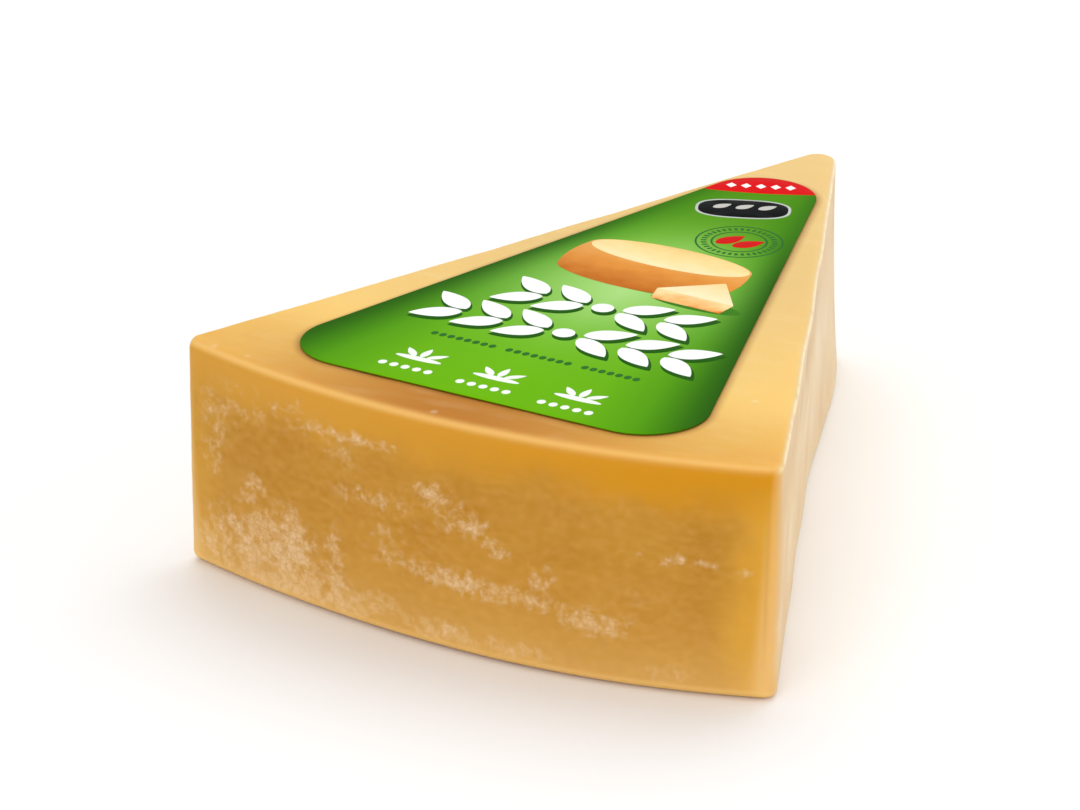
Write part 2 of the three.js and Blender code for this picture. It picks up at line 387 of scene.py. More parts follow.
def cheese_relief(points, normals):
    """Humps and fine grain, pressed into the block, and on its upright cuts the shallow hollows
    that a wire leaves in brittle cheese: waves stretched upwards, of which only the crests count,
    deepest a little above half the height. It all fades out at the flat foot."""
    humps = 0.5 + 0.5 * ripple(points, HUMP, 3)
    grain = 0.5 + 0.5 * ripple(points, GRAIN, 8)
    hollows = smooth(ripple(points * (1, 1, 0.6), HOLLOW, 17), 0.1, 0.9)
    on_cut = smooth(abs(normals[..., 0]), 0.75, 0.93)
    inner = on_cut * bell(points[..., 2] - 0.6 * HEIGHT, 0.5 * HEIGHT)
    above_foot = smooth(points[..., 2], 0, FLAT_FOOT)
    return (HUMP_DEPTH * humps + GRAIN_DEPTH * grain + HOLLOW_DEPTH * hollows * inner) * above_foot


cheese_rings = block_rings(plan, CHEESE_INSET, levels, CAP_RINGS, cheese_relief)
whole = block_rings(plan, 0.0, levels, 2, lambda points, normals: 0 * points[..., 0])
plan_shift = -(whole.min(axis=(0, 1)) + whole.max(axis=(0, 1)))[:2] / 2
TO_PART = np.array((*plan_shift, 0.0))
cheese = closed_surface("cheese_block", [cheese_rings + TO_PART])

# What the surface is at each point: rind or cut, how far inside the rind, where a painted highlight runs
# along an edge, the tan patch on the top or a chip of the right cut. A row's level says how far up the
# block it lies.
RIND_TOP_LEVEL, RIND_TOP_REACH = 2.52, 0.2
RIND_FOOT_LEVEL, RIND_FOOT_REACH = 0.7, 0.35
CUT_TOP_LEVEL, CUT_TOP_REACH = 2.3, 0.22
TAN_MIDDLE, TAN_REACH = -1 * MM, 31 * MM
TAN_FULL, TAN_GONE = 8 * MM, 22 * MM
level_of_row = np.concatenate((np.zeros(CAP_RINGS), levels, np.full(CAP_RINGS, 3.0)))
on_wall = smooth(level_of_row, 0.1, 0.9) * (1 - smooth(level_of_row, 2.25, 2.95))
face_of = plan[:, 5]
share_of = plan[:, 4]
rind_share = np.select((face_of == RIND, face_of == RIGHT_CORNER, face_of == LEFT_CORNER),
                       (1.0, smooth(share_of, 0.1, 1), smooth(1 - share_of, 0.1, 1)), 0.0)
rind_mask = on_wall[:, None] * rind_share[None, :]
cut_mask = on_wall[:, None] * (1 - rind_share)[None, :]
store(cheese, "rind", rind_mask)
store(cheese, "cut", cut_mask)
from_rind = RIND_RADIUS - np.hypot(cheese_rings[..., 0] - RIND_CENTRE[0],
                                   cheese_rings[..., 1] - RIND_CENTRE[1])
store(cheese, "from_rind", from_rind / MM)
# Painted highlight along the rind's top and bottom edges
edge_highlight_rows = (bell(level_of_row - RIND_TOP_LEVEL, RIND_TOP_REACH)
             + bell(level_of_row - RIND_FOOT_LEVEL, RIND_FOOT_REACH))
store(cheese, "edge", edge_highlight_rows[:, None] * rind_share[None, :])
# Painted highlight along the top edges of the cuts
crest_highlight_rows = bell(level_of_row - CUT_TOP_LEVEL, CUT_TOP_REACH)
store(cheese, "crest", crest_highlight_rows[:, None] * (1 - rind_share)[None, :])
tan_strip = (bell(cheese_rings[..., 0] - TAN_MIDDLE, TAN_REACH)
             * (1 - smooth(from_rind, TAN_FULL, TAN_GONE)))
store(cheese, "tan", tan_strip)
down_cut = -cheese_rings[..., 1] / math.cos(HALF_ANGLE)
chips = sum(bell(down_cut - at, DENT_LENGTH) * bell(cheese_rings[..., 2] - height, DENT_RISE)
            for at, height in DENTS)
store(cheese, "chips", chips * cut_mask * (face_of == RIGHT_CUT))

# Pale bloom on the rind: place along the rind, height, half length, half height, strength
BLOOM = (
    (-41, 6, 4.5, 4.5, 0.6), (-33, 8, 6, 5, 0.9), (-26, 8, 3.5, 7, 0.9), (-18.5, 8, 1.6, 6, 0.75),
    (-30, 2, 13, 2, 0.7), (-14, 4, 7, 2.5, 0.7), (-14, 29.5, 9, 0.9, 0.65), (-17, 26, 3, 2.5, 0.45),
    (-13, 21, 5, 1.2, 0.6), (-2, 24, 4, 1.6, 0.75), (3.5, 21, 3.5, 1.8, 0.8), (9, 18, 2.2, 1.4, 0.7),
    (-4, 12, 6, 1.6, 0.65), (5, 11.5, 6, 1.8, 0.8), (15.5, 15, 2, 1.8, 0.7), (14.5, 11.5, 3.5, 1.8, 0.6),
    (23, 9.5, 4.5, 1.8, 0.85), (0, 3, 6, 1.8, 0.75), (12, 2.8, 6, 1.4, 0.65), (34, 3, 4.5, 1.8, 0.5),
    (29.2, 21, 0.6, 0.6, 1.1), (32.8, 20.2, 0.8, 0.6, 1.1), (35, 20.9, 1.2, 0.8, 1.0),
    (38, 20.7, 0.9, 0.5, 1.0), (39.7, 20.3, 0.6, 0.6, 1.1), (44, 19.8, 1.3, 0.7, 1.1),
    (-42, 20, 2.5, 4, 0.4), (-34, 17, 2.5, 3, 0.45), (-39, 28, 6, 5, 0.34), (-26, 30, 8, 3, 0.32),
    (22, 27, 14, 4, 0.14), (-8, 17, 9, 5, 0.24), (44, 8, 3, 6, 0.2), (28, 14, 9, 5, 0.14),
)
at_mm = cheese_rings / MM
bloom = sum(strength * bell(at_mm[..., 0] - x, length) * bell(at_mm[..., 2] - z, rise)
            for x, z, length, rise, strength in BLOOM)
store(cheese, "bloom", np.clip(bloom, 0, 1.3) * rind_mask)


def pattern(mm):
    """The scale of a noise texture whose patches are so many millimetres across."""
    return 1 / (mm * MM)


def layered(tree, colour, *coats):
    """A colour with coats laid over it one after another, each a share and a colour. The share
    is from 0 to 1, and a colour is a hex value or an output."""
    for share, coat in coats:
        colour = add(tree, "Mix", {0: share, 6: colour, 7: coat}, data_type="RGBA").outputs[2]
    return colour


def unsettled(tree, value, noise, reach):
    """A value moved up or down by as much as half a reach, as a noise from 0 to 1 has it."""
    lowest = add(tree, "Math", {0: value, 1: reach / 2}, operation="SUBTRACT")
    return add(tree, "Math", {0: noise, 1: reach, 2: lowest}, operation="MULTIPLY_ADD")


# Pressed, brined and aged: light sinks a few millimetres into the fat and comes out warm and soft,
# and under the film there is hardly any gloss left.
cheese_material = bpy.data.materials.new("hard_cheese_with_waxy_rind")
tree = empty_tree(cheese_material)
SMOOTHLY = {"interpolation_type": "SMOOTHSTEP"}
where = add(tree, "TexCoord").outputs["Object"]
axes = add(tree, "SeparateXYZ", {0: where})
along_x, height = axes.outputs["X"], axes.outputs["Z"]
rind, cut, inward_mm, tan, chipped, crest, edge, bloomy = (
    add(tree, "Attribute", attribute_name=name).outputs["Fac"]
    for name in ("rind", "cut", "from_rind", "tan", "chips", "crest", "edge", "bloom"))

# Top: orange tan next to the middle of the rind, paler away from it, with faint level streaks
broad_noise = add(tree, "TexNoise", {"Vector": where, "Scale": pattern(16), "Detail": 2.0})
fine_noise = add(tree, "TexNoise", {"Vector": where, "Scale": pattern(2.2), "Detail": 3.0,
                                    "Roughness": 0.6})
ripe = unsettled(tree, inward_mm, broad_noise, 16.0)
top_share = add(tree, "MapRange", {0: ripe, 1: 0.0, 2: 120.0})
top_ramp = add(tree, "ValToRGB", {0: top_share}, (
    (0.0, "#e8b04e"), (0.08, "#efbe60"), (0.2, "#f3c973"), (0.55, "#e6c27c"), (1.0, "#e8c580")))
tan_share = add(tree, "Math", {0: tan, 1: 0.95}, operation="MULTIPLY")
level_streaks = add(tree, "Mapping", {0: where, "Scale": (0.3, 1.0, 1.0)})
streaks = add(tree, "TexNoise", {"Vector": level_streaks, "Scale": pattern(3), "Detail": 4.0})
streak_share = add(tree, "MapRange", {0: streaks, 1: 0.5, 2: 0.8, 3: 0.0, 4: 0.14})
top_colour = layered(tree, top_ramp.outputs[0], (tan_share, "#b77212"), (streak_share, "#fbe2ae"))

# Cuts: pale, with soft blotches, a little deeper near the rind and near the top, and darker in the chips,
# where the shade in their hollows is painted
side_share = add(tree, "MapRange", {0: ripe, 1: 0.0, 2: 30.0})
blotches = add(tree, "TexNoise", {"Vector": where, "Scale": pattern(13), "Detail": 2.0})
dark_blotch = add(tree, "MapRange", {0: blotches, 1: 0.5, 2: 0.75, 3: 0.0, 4: 0.45})
pale_blotch = add(tree, "MapRange", {0: blotches, 1: 0.46, 2: 0.28, 3: 0.0, 4: 0.4})
side_top = add(tree, "MapRange", {0: height, 1: 20 * MM, 2: 34 * MM, 3: 0.0, 4: 0.6})
# Painted shade in the chips of the right cut
chip_painted_shade = add(tree, "Math", {0: chipped, 1: 0.55}, operation="MULTIPLY")
side_colour = layered(tree, "#e2bb86", (side_share, "#e8cb9f"), (dark_blotch, "#d3ad7c"),
                      (pale_blotch, "#f3e2c8"), (side_top, "#d9b381"), (chip_painted_shade, "#bf9566"))

# Here and there a crystal about a millimetre across, and a ragged painted highlight where a cut meets the
# top
cells = add(tree, "TexVoronoi", {"Vector": where, "Scale": pattern(7)}, feature="F1")
crystal_size = add(tree, "MapRange", {0: cells.outputs["Distance"], 1: 0.05, 2: 0.11, 3: 0.2, 4: 0.0})
cell_draw = add(tree, "SeparateColor", {0: cells.outputs["Color"]})
crystals = add(tree, "MapRange", {0: cell_draw, 1: 0.6, 2: 0.62, 4: crystal_size}, **SMOOTHLY)
ragged_painted_highlight = add(tree, "MapRange", {0: fine_noise, 1: 0.2, 2: 0.55, 4: crest}, **SMOOTHLY)
paste = layered(tree, top_colour, (cut, side_colour), (crystals, "#fdf0d0"),
                (ragged_painted_highlight, "#fdebc2"))

# Rind: golden brown and mottled, with faint level bands, and painted light that makes it paler at the foot
stretched = add(tree, "Mapping", {0: where, "Scale": (0.25, 0.25, 1.0)})
bands = add(tree, "TexNoise", {"Vector": stretched, "Scale": pattern(3.0), "Detail": 4.0})
cloud = add(tree, "Math", {0: bands, 1: 0.5, 2: broad_noise}, operation="MULTIPLY_ADD")
tone = add(tree, "MapRange", {0: cloud, 1: 0.5, 2: 1.0}, **SMOOTHLY)
level_grain = add(tree, "Mapping", {0: where, "Scale": (0.6, 0.6, 1.0)})
mottle = add(tree, "TexNoise", {"Vector": level_grain, "Scale": pattern(1.1), "Detail": 5.0,
                                "Roughness": 0.65})
mottled = add(tree, "MapRange", {0: mottle, 1: 0.4, 2: 0.75, 3: 0.0, 4: 0.42})
# Painted light: the rind paler for 20 mm above its foot
foot_painted_light = add(tree, "MapRange", {0: height, 1: 0.0, 2: 20 * MM, 3: 0.35, 4: 0.0})

# It is more golden in uneven bands beside its corners and under its top edge, most on the right
uneven = add(tree, "TexNoise", {"Vector": where, "Scale": pattern(9), "Detail": 5.0,
                                "Roughness": 0.6})
sideways = add(tree, "Math", {0: along_x}, operation="ABSOLUTE")
side_reach = unsettled(tree, sideways, uneven, 12 * MM)
side_strength = add(tree, "MapRange", {0: along_x, 1: -40 * MM, 2: 45 * MM, 3: 0.45, 4: 1.0})
side_band = add(tree, "MapRange", {0: side_reach, 1: 38 * MM, 2: 47 * MM, 4: side_strength},
                **SMOOTHLY)
top_reach = unsettled(tree, height, uneven, 10 * MM)
top_band = add(tree, "MapRange", {0: top_reach, 1: 25.5 * MM, 2: 33.5 * MM}, **SMOOTHLY)
rightward = add(tree, "MapRange", {0: along_x, 1: -40 * MM, 2: 45 * MM}, **SMOOTHLY)
top_band_colour = layered(tree, "#cd9533", (rightward, "#cc8c00"))

# It pales at the upright corners, over a breadth that grows by 0.07 of the way down
corner_reach = add(tree, "Math", {0: height, 1: -0.07, 2: sideways}, operation="MULTIPLY_ADD")
corner_pale = add(tree, "MapRange", {0: corner_reach, 1: 43.8 * MM, 2: 46.6 * MM, 4: 0.7},
                  **SMOOTHLY)

# Bloom: a thin pale veil in patches of 4 mm, broken into flakes of 1.5 mm and less, crazed by fine
# cracks 1.5 mm apart and torn by upright creases, with darker specks between the flakes
patches = add(tree, "TexNoise", {"Vector": where, "Scale": pattern(4), "Detail": 3.0,
                                 "Distortion": 0.6})
flakes = add(tree, "TexNoise", {"Vector": where, "Scale": pattern(1.5), "Detail": 6.0,
                                "Roughness": 0.65, "Distortion": 0.3})
upright = add(tree, "Mapping", {0: where, "Scale": (1.0, 1.0, 0.3)})
creases = add(tree, "TexNoise", {"Vector": upright, "Scale": pattern(1.2), "Detail": 4.0})
wander = add(tree, "VectorMath", {0: flakes.outputs["Color"], "Scale": 0.9 * MM}, operation="SCALE")
wandering = add(tree, "VectorMath", {0: where, 1: wander}, operation="ADD")
crazing = add(tree, "TexVoronoi", {"Vector": wandering, "Scale": pattern(1.5)},
              feature="DISTANCE_TO_EDGE")
flaked = add(tree, "Math", {0: flakes, 1: 3.6, 2: -1.8}, operation="MULTIPLY_ADD")
patched = add(tree, "Math", {0: patches, 1: 1.7, 2: flaked}, operation="MULTIPLY_ADD")
creased = add(tree, "Math", {0: creases, 1: 0.6, 2: patched}, operation="MULTIPLY_ADD")
veil = add(tree, "Math", {0: bloomy, 1: 1.15, 2: creased}, operation="MULTIPLY_ADD")
uncracked = add(tree, "MapRange", {0: crazing, 1: 0.0, 2: 0.14, 3: 0.5, 4: 0.9})
near_bloom = add(tree, "MapRange", {0: bloomy, 1: 0.04, 2: 0.3, 4: uncracked}, **SMOOTHLY)
bloom_share = add(tree, "MapRange", {0: veil, 1: 1.25, 2: 2.75, 4: near_bloom}, **SMOOTHLY)
specks = add(tree, "TexNoise", {"Vector": where, "Scale": pattern(0.6), "Detail": 3.0})
speck_limit = add(tree, "Math", {0: bloomy, 1: 0.4}, operation="MULTIPLY")
speck_share = add(tree, "MapRange", {0: specks, 1: 0.56, 2: 0.72, 4: speck_limit}, **SMOOTHLY)

rind_colour = layered(tree, "#b27c20", (tone, "#ba8629"), (mottled, "#d5a253"), (foot_painted_light, "#cf9a45"),
                      (side_band, "#d39c30"), (top_band, top_band_colour), (corner_pale, "#e6bd80"),
                      (bloom_share, "#dbba90"), (speck_share, "#aa7b3c"))
# A painted highlight makes the rind paler along its top and bottom edges
edge_painted_highlight = add(tree, "Math", {0: edge, 1: 0.7}, operation="MULTIPLY")
cheese_colour = layered(tree, paste, (rind, rind_colour), (edge_painted_highlight, "#f2c67a"))
grain = add(tree, "Bump", {"Height": fine_noise, "Strength": 0.06, "Distance": 0.15 * MM})
cheese_surface = add(tree, "BsdfPrincipled", {
    "Base Color": cheese_colour, "Roughness": 0.55, "IOR": 1.46, "Specular IOR Level": 0.1,
    "Subsurface Weight": 0.35, "Subsurface Radius": (1.0, 0.55, 0.2), "Subsurface Scale": 4 * MM,
    "Normal": grain})
add(tree, "OutputMaterial", {"Surface": cheese_surface})
cheese.data.materials.append(cheese_material)
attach(cheese, "root")
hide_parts("cheese_wedge")


# ---- Film ------------------------------------------------------------------------------------
# Clear vacuum film of polyamide and polyethylene, 0.07 mm thick, shrunk tight on the block. It
# lies smooth, with a little soft slack and faint puckers.

FILM_INSET = 0.02 * MM
SLACK, SLACK_DEPTH = 5 * MM, 0.05 * MM


def film_relief(points, normals):
    """Soft waves of slack, from none to its full depth, which fade out at the flat foot."""
    above_foot = smooth(points[..., 2], 0, FLAT_FOOT)
    return SLACK_DEPTH * (0.5 + 0.5 * ripple(points, SLACK, 21)) * above_foot


film_rings = block_rings(plan, FILM_INSET, levels, CAP_RINGS, film_relief)
film = closed_surface("clear_film", [film_rings + TO_PART])
film_material = bpy.data.materials.new("clear_vacuum_film")
tree = empty_tree(film_material)
where = add(tree, "TexCoord").outputs["Object"]
wrinkles = add(tree, "TexNoise", {"Vector": where, "Scale": pattern(5), "Detail": 2.0})
puckers = add(tree, "Bump", {"Height": wrinkles, "Strength": 0.4, "Distance": 0.3 * MM})
# The film clings to the block, so only 0.18 of a free film's reflection is left, and 0.07 at most
fresnel = add(tree, "Fresnel", {"IOR": 1.5, "Normal": puckers})
clinging = add(tree, "Math", {0: fresnel, 1: 0.18}, operation="MULTIPLY")
sheen = add(tree, "Math", {0: clinging, 1: 0.07}, operation="MINIMUM")
see_through = add(tree, "BsdfTransparent")
shine = add(tree, "BsdfGlossy", {"Roughness": 0.22, "Normal": puckers})
both = add(tree, "MixShader", {0: sheen, 1: see_through, 2: shine})
add(tree, "OutputMaterial", {"Surface": both})
film.data.materials.append(film_material)
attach(film, "root")
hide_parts("cheese_wedge")


# ---- Label -----------------------------------------------------------------------------------
# Self-adhesive coated paper, die-cut as a triangle with round corners and stuck on the film, a
# little turned. It is printed green, lighter in the middle and darker along its two long sides,
# under a satin varnish.

LABEL_LENGTH = 128.1 * MM
LABEL_BASE = 71.1 * MM
LABEL_APEX_ASIDE = -3.9 * MM
LABEL_BASE_RADIUS = 9.6 * MM
LABEL_APEX_RADIUS = 9.0 * MM
LABEL_AT = np.array((-0.7, -125.6)) * MM
LABEL_TURN = math.radians(-2.2)
LABEL_LOW = HEIGHT + 0.05 * MM
PAPER_TOP = HEIGHT + 0.17 * MM
PAPER_RIM = 0.05 * MM


def turning(angle):
    """The matrix by which rows of x and y are multiplied to turn them about zero."""
    cos, sin = math.cos(angle), math.sin(angle)
    return np.array(((cos, sin), (-sin, cos)))


LABEL_AXES = turning(LABEL_TURN)


def to_part(places):
    """Points of the label's own plan, with the middle of its base at zero and its apex towards
    +Y, turned and moved to where the label is stuck."""
    return places @ LABEL_AXES + LABEL_AT + plan_shift


def rounded_outline(corners, steps):
    """A closed outline, counter-clockwise, each sharp corner replaced by an arc that touches both
    of its sides, and the arcs as pairs of centre and radius. A corner is x, y and its radius."""
    arcs, rounds = [], []
    for i, (x, y, radius) in enumerate(corners):
        at = np.array((x, y))
        before = np.array(corners[i - 1][:2]) - at
        after = np.array(corners[(i + 1) % len(corners)][:2]) - at
        before, after = before / np.linalg.norm(before), after / np.linalg.norm(after)
        half = math.acos(before @ after) / 2
        centre = at + (before + after) / np.linalg.norm(before + after) * radius / math.sin(half)
        start = math.atan2(before[0], -before[1])
        angle = start + (math.pi - 2 * half) * np.arange(steps + 1) / steps
        arcs.append(centre + radius * np.column_stack((np.cos(angle), np.sin(angle))))
        rounds.append((centre, radius))
    return np.vstack(arcs), rounds


def evenly(edge, count):
    """A closed outline with its points spaced evenly."""
    closed = np.vstack((edge, edge[:1]))
    length = np.concatenate(((0,), np.cumsum(np.linalg.norm(np.diff(closed, axis=0), axis=1))))
    spot = length[-1] * np.arange(count) / count
    return np.column_stack([np.interp(spot, length, closed[:, axis]) for axis in range(2)])


def slab(edge, low, high, rings, rim):
    """A thin closed plate: a pole under its middle, its outline at two heights, the outline pulled
    in by `rim`, then shrunk in even steps to a pole on top."""
    middle = (edge.min(axis=0) + edge.max(axis=0)) / 2
    reach = np.linalg.norm(edge - middle, axis=1, keepdims=True)
    inner = middle + (edge - middle) * (1 - rim / reach)
    shrink = 1 - np.arange(rings + 1) / rings
    flat = [middle + (inner - middle) * share for share in shrink]
    stack = [middle + 0 * edge, edge, edge, *flat]
    heights = [low, low, high - rim / 2] + [high] * len(flat)
    return np.stack([np.column_stack((to_part(ring), np.full(len(ring), z)))
                     for ring, z in zip(stack, heights)])


def crisp(piece):
    """The piece, with a sharp edge wherever its faces turn by more than 30 degrees."""
    piece.data.set_sharp_from_angle(angle=math.radians(30))
    return piece


label_outline, label_arcs = rounded_outline((
    (-LABEL_BASE / 2, 0, LABEL_BASE_RADIUS),
    (LABEL_BASE / 2, 0, LABEL_BASE_RADIUS),
    (LABEL_APEX_ASIDE, LABEL_LENGTH, LABEL_APEX_RADIUS),
), steps=64)
label_edge = evenly(label_outline, 480)
label_rings = slab(label_edge, LABEL_LOW, PAPER_TOP, 40, PAPER_RIM)
label = crisp(closed_surface("paper_label", [label_rings]))

# Print: how far a point lies from the long sides, the pale glow behind the picture, and the
# darker upper part
GLOW_AT = (-3 * MM, 50 * MM)
GLOW_REACH = (24 * MM, 18 * MM)
DARKER_FROM, DARKER_TO = 58 * MM, 88 * MM
print_place = (label_rings[..., :2] - LABEL_AT - plan_shift) @ LABEL_AXES.T
print_x, print_y = print_place[..., 0], print_place[..., 1]
left_side = (LABEL_APEX_ASIDE + LABEL_BASE / 2) * print_y / LABEL_LENGTH - LABEL_BASE / 2
right_side = (LABEL_APEX_ASIDE - LABEL_BASE / 2) * print_y / LABEL_LENGTH + LABEL_BASE / 2
across = (print_x - left_side) / np.maximum(right_side - left_side, MM)
store(label, "from_edge", np.clip(1 - abs(2 * across - 1), 0, 1))
store(label, "glow", bell(print_x - GLOW_AT[0], GLOW_REACH[0]) * bell(print_y - GLOW_AT[1], GLOW_REACH[1]))
store(label, "upper", smooth(print_y, DARKER_FROM, DARKER_TO))


def paper_bump(tree):
    """The faint bump of paper fibres under ink and varnish, which calms the satin gloss."""
    where = add(tree, "TexCoord").outputs["Object"]
    fibre = add(tree, "TexNoise", {"Vector": where, "Scale": pattern(1.2), "Detail": 2.0})
    return add(tree, "Bump", {"Height": fibre, "Strength": 0.1, "Distance": 0.02 * MM})


# Offset-printed and varnished: even, saturated colour with a low satin sheen
VARNISH = {"IOR": 1.5, "Specular IOR Level": 0.015}
label_material = bpy.data.materials.new("varnished_label_paper")
tree = empty_tree(label_material)
from_edge, glow, upper = (add(tree, "Attribute", attribute_name=name).outputs["Fac"]
                          for name in ("from_edge", "glow", "upper"))
green = add(tree, "ValToRGB", {0: from_edge}, (
    (0.0, "#215800"), (0.08, "#2e6b00"), (0.28, "#519a04"), (0.55, "#66ae06"), (1.0, "#6ab400")))
dim = add(tree, "Math", {0: upper, 1: 0.7}, operation="MULTIPLY")
bright = add(tree, "Math", {0: glow, 1: from_edge}, operation="MULTIPLY")
green = layered(tree, green.outputs[0], (dim, "#3c7c04"), (bright, "#aad880"))
surface = add(tree, "BsdfPrincipled", {
    "Base Color": green, "Roughness": 0.4, "Normal": paper_bump(tree), **VARNISH})
add(tree, "OutputMaterial", {"Surface": surface})
label.data.materials.append(label_material)
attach(label, "root")
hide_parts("label")

# For 1.5 mm round the label the cheese looks browner, because the rim keeps light off. The label
# encloses three bars, one between the arcs of each two corners. A point's distance from a bar is
# that from the line between the arcs' centres, less the radius, which changes evenly along the
# line, and the least of the three distances counts.
SHADE_REACH = 1.5 * MM
tree = cheese_material.node_tree
where = add(tree, "TexCoord").outputs["Object"]
outside = 1.0
for i, (centre, radius) in enumerate(label_arcs):
    next_centre, next_radius = label_arcs[i - 1]
    begin, end = to_part(centre), to_part(next_centre)
    bar = (*(end - begin), 0)
    from_begin = add(tree, "VectorMath", {0: where, 1: (*begin, HEIGHT)}, operation="SUBTRACT")
    ahead = add(tree, "VectorMath", {0: from_begin, 1: bar}, operation="DOT_PRODUCT")
    share = add(tree, "Math", {0: ahead.outputs["Value"], 1: float(np.dot(bar, bar))},
                operation="DIVIDE", use_clamp=True)
    foot = add(tree, "VectorMath", {0: bar, "Scale": share}, operation="SCALE")
    distance = add(tree, "VectorMath", {0: from_begin, 1: foot}, operation="DISTANCE")
    reach = add(tree, "Math", {0: share, 1: next_radius - radius, 2: radius},
                operation="MULTIPLY_ADD")
    past_bar = add(tree, "Math", {0: distance.outputs["Value"], 1: reach}, operation="SUBTRACT")
    outside = add(tree, "Math", {0: outside, 1: past_bar}, operation="MINIMUM")
shade_share = add(tree, "MapRange", {0: outside, 1: 0.0, 2: SHADE_REACH, 3: 0.5, 4: 0.0}, **SMOOTHLY)
shaded = layered(tree, cheese_colour, (shade_share, "#a4601c"))
tree.links.new(shaded, cheese_surface.inputs["Base Color"])


# ---- Red cap of the label --------------------------------------------------------------------
# The label's round end is printed red, down to a slanting line, with a row of white lozenges.
# Each printed field is its own thin layer of ink on the paper.

INK = 0.011 * MM
INK_RIM = 0.004 * MM
INK_GAP = 0.001 * MM
UPPER_SLANT = math.radians(23)


def ink(layer):
    """The lowest and highest z of a layer of ink, counted from the paper."""
    return PAPER_TOP + layer * INK, PAPER_TOP + (layer + 1) * INK - INK_GAP


def printed(name, colour, outlines, layer, rough=0.4):
    """Outlines or ready shells printed in one ink, with the paper's bump under it. The colour is a
    hex value, laid on a little unevenly, or a function that gives it in a material's tree."""
    low, high = ink(layer)
    shells = [shape if shape.ndim == 3 else slab(shape, low, high, 2, INK_RIM) for shape in outlines]
    piece = crisp(closed_surface(name, shells))
    material = bpy.data.materials.new(name + "_ink")
    tree = empty_tree(material)
    if callable(colour):
        colour = colour(tree)
    else:
        where = add(tree, "TexCoord").outputs["Object"]
        density = add(tree, "TexNoise", {"Vector": where, "Scale": pattern(4), "Detail": 2.0})
        share = add(tree, "MapRange", {0: density, 1: 0.3, 2: 0.7, 3: 0.0, 4: 0.05})
        colour = layered(tree, colour, (share, "#202020"))
    surface = add(tree, "BsdfPrincipled", {
        "Base Color": colour, "Roughness": rough, "Normal": paper_bump(tree), **VARNISH})
    add(tree, "OutputMaterial", {"Surface": surface})
    piece.data.materials.append(material)
    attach(piece, "root")


def turned(points, angle, at):
    """Points turned about zero and moved to a place in millimetres."""
    return points @ turning(angle) + np.array(at) * MM


def oval(at, wide, high, angle=0.0, steps=64):
    """An ellipse by its full width and height in millimetres."""
    t = 2 * math.pi * np.arange(steps) / steps
    return turned(np.column_stack((wide * np.cos(t), high * np.sin(t))) * MM / 2, angle, at)


CUSHION_POWER = 0.72


def cushion(at, wide, high, angle, steps=64):
    """An oval with full corners: its cosine and sine keep their signs and are raised to a power
    below one."""
    t = 2 * math.pi * np.arange(steps) / steps
    x, y = (np.sign(f) * abs(f) ** CUSHION_POWER for f in (np.cos(t), np.sin(t)))
    return turned(np.column_stack((wide * x, high * y)) * MM / 2, angle, at)


def leaf(at, length, width, angle, steps=20):
    """A leaf that starts at a place. Its half width is the sine of pi times the way along it. The
    way is raised to 0.8, which makes it broadest nearer its foot, and so is the sine, which makes
    it full."""
    share = np.linspace(0, 1, steps)
    half = width / 2 * np.sin(math.pi * share ** 0.8).clip(0) ** 0.8
    there = np.column_stack((length * share, -half))
    back = np.column_stack((length * share, half))[::-1][1:-1]
    return turned(np.vstack((there, back)) * MM, angle, at)


CAP_LEFT = np.array((-12.6, 93.0)) * MM
CAP_RIGHT = np.array((4.6, 100.0)) * MM
CAP_SAG = 0.8 * MM
line = CAP_RIGHT - CAP_LEFT
above = np.cross(np.broadcast_to(line, label_edge.shape), label_edge - CAP_LEFT) > 0
first = np.flatnonzero(above & ~np.roll(above, 1))[0]
rim = np.roll(label_edge, -first, axis=0)[:above.sum()]
share = np.linspace(0, 1, 40)[1:-1, None]
down = np.array((line[1], -line[0])) / np.linalg.norm(line)
sagging = CAP_LEFT + line * share + down * CAP_SAG * 4 * share * (1 - share)
cap_outline = np.vstack((rim, sagging))
printed("red_cap", "#da0008", [cap_outline], layer=0)

LOZENGE_ROW = (-4.5, 99.0)
LOZENGE_SLOPE = 0.42
lozenge_places = [(x, LOZENGE_ROW[1] + LOZENGE_SLOPE * (x - LOZENGE_ROW[0]))
                  for x in (-9.4, -7.2, -5.0, -2.8, -0.6)]
printed("cap_lozenges", "#f6f4f2",
        [oval(at, wide=1.7, high=2.2, angle=UPPER_SLANT, steps=4) for at in lozenge_places], layer=1)


# ---- Plaque and seal of the label ------------------------------------------------------------
# A black oval with a silver rim and three silver leaves, and below it a round seal of two thin
# green rings with a ring of ticks between them and a pair of red leaves in the middle.

PLAQUE_AT = (-2.6, 88.0)
SEAL_AT = (3.7, 74.6)
SEAL_OUTER = 6.75
SEAL_INNER = 4.3
SEAL_LINE = 0.32
TICKS = 36
TICK_LENGTH = 0.9
TICK_ANGLE = 0.09


def stroke(path, width, layer):
    """A line of ink of even width along a path, as a flat bar with closed ends."""
    low, high = ink(layer)
    ahead = np.gradient(path, axis=0)
    ahead /= np.linalg.norm(ahead, axis=1, keepdims=True)
    left = np.column_stack((-ahead[:, 1], ahead[:, 0])) * width * MM / 2
    columns = ((path + left, low), (path + left, high), (path - left, high), (path - left, low))
    rings = np.stack([np.column_stack((to_part(side), np.full(len(side), z)))
                      for side, z in columns], axis=1)
    ends = [np.broadcast_to(ring.mean(axis=0), ring.shape) for ring in (rings[0], rings[-1])]
    return np.concatenate((ends[0][None], rings, ends[1][None]))


def circle_path(at, radius, start=0.0, end=2 * math.pi, steps=96):
    """An arc about a place, in millimetres, from one direction to another."""
    t = np.linspace(start, end, steps)
    return (np.array(at) + radius * np.column_stack((np.cos(t), np.sin(t)))) * MM


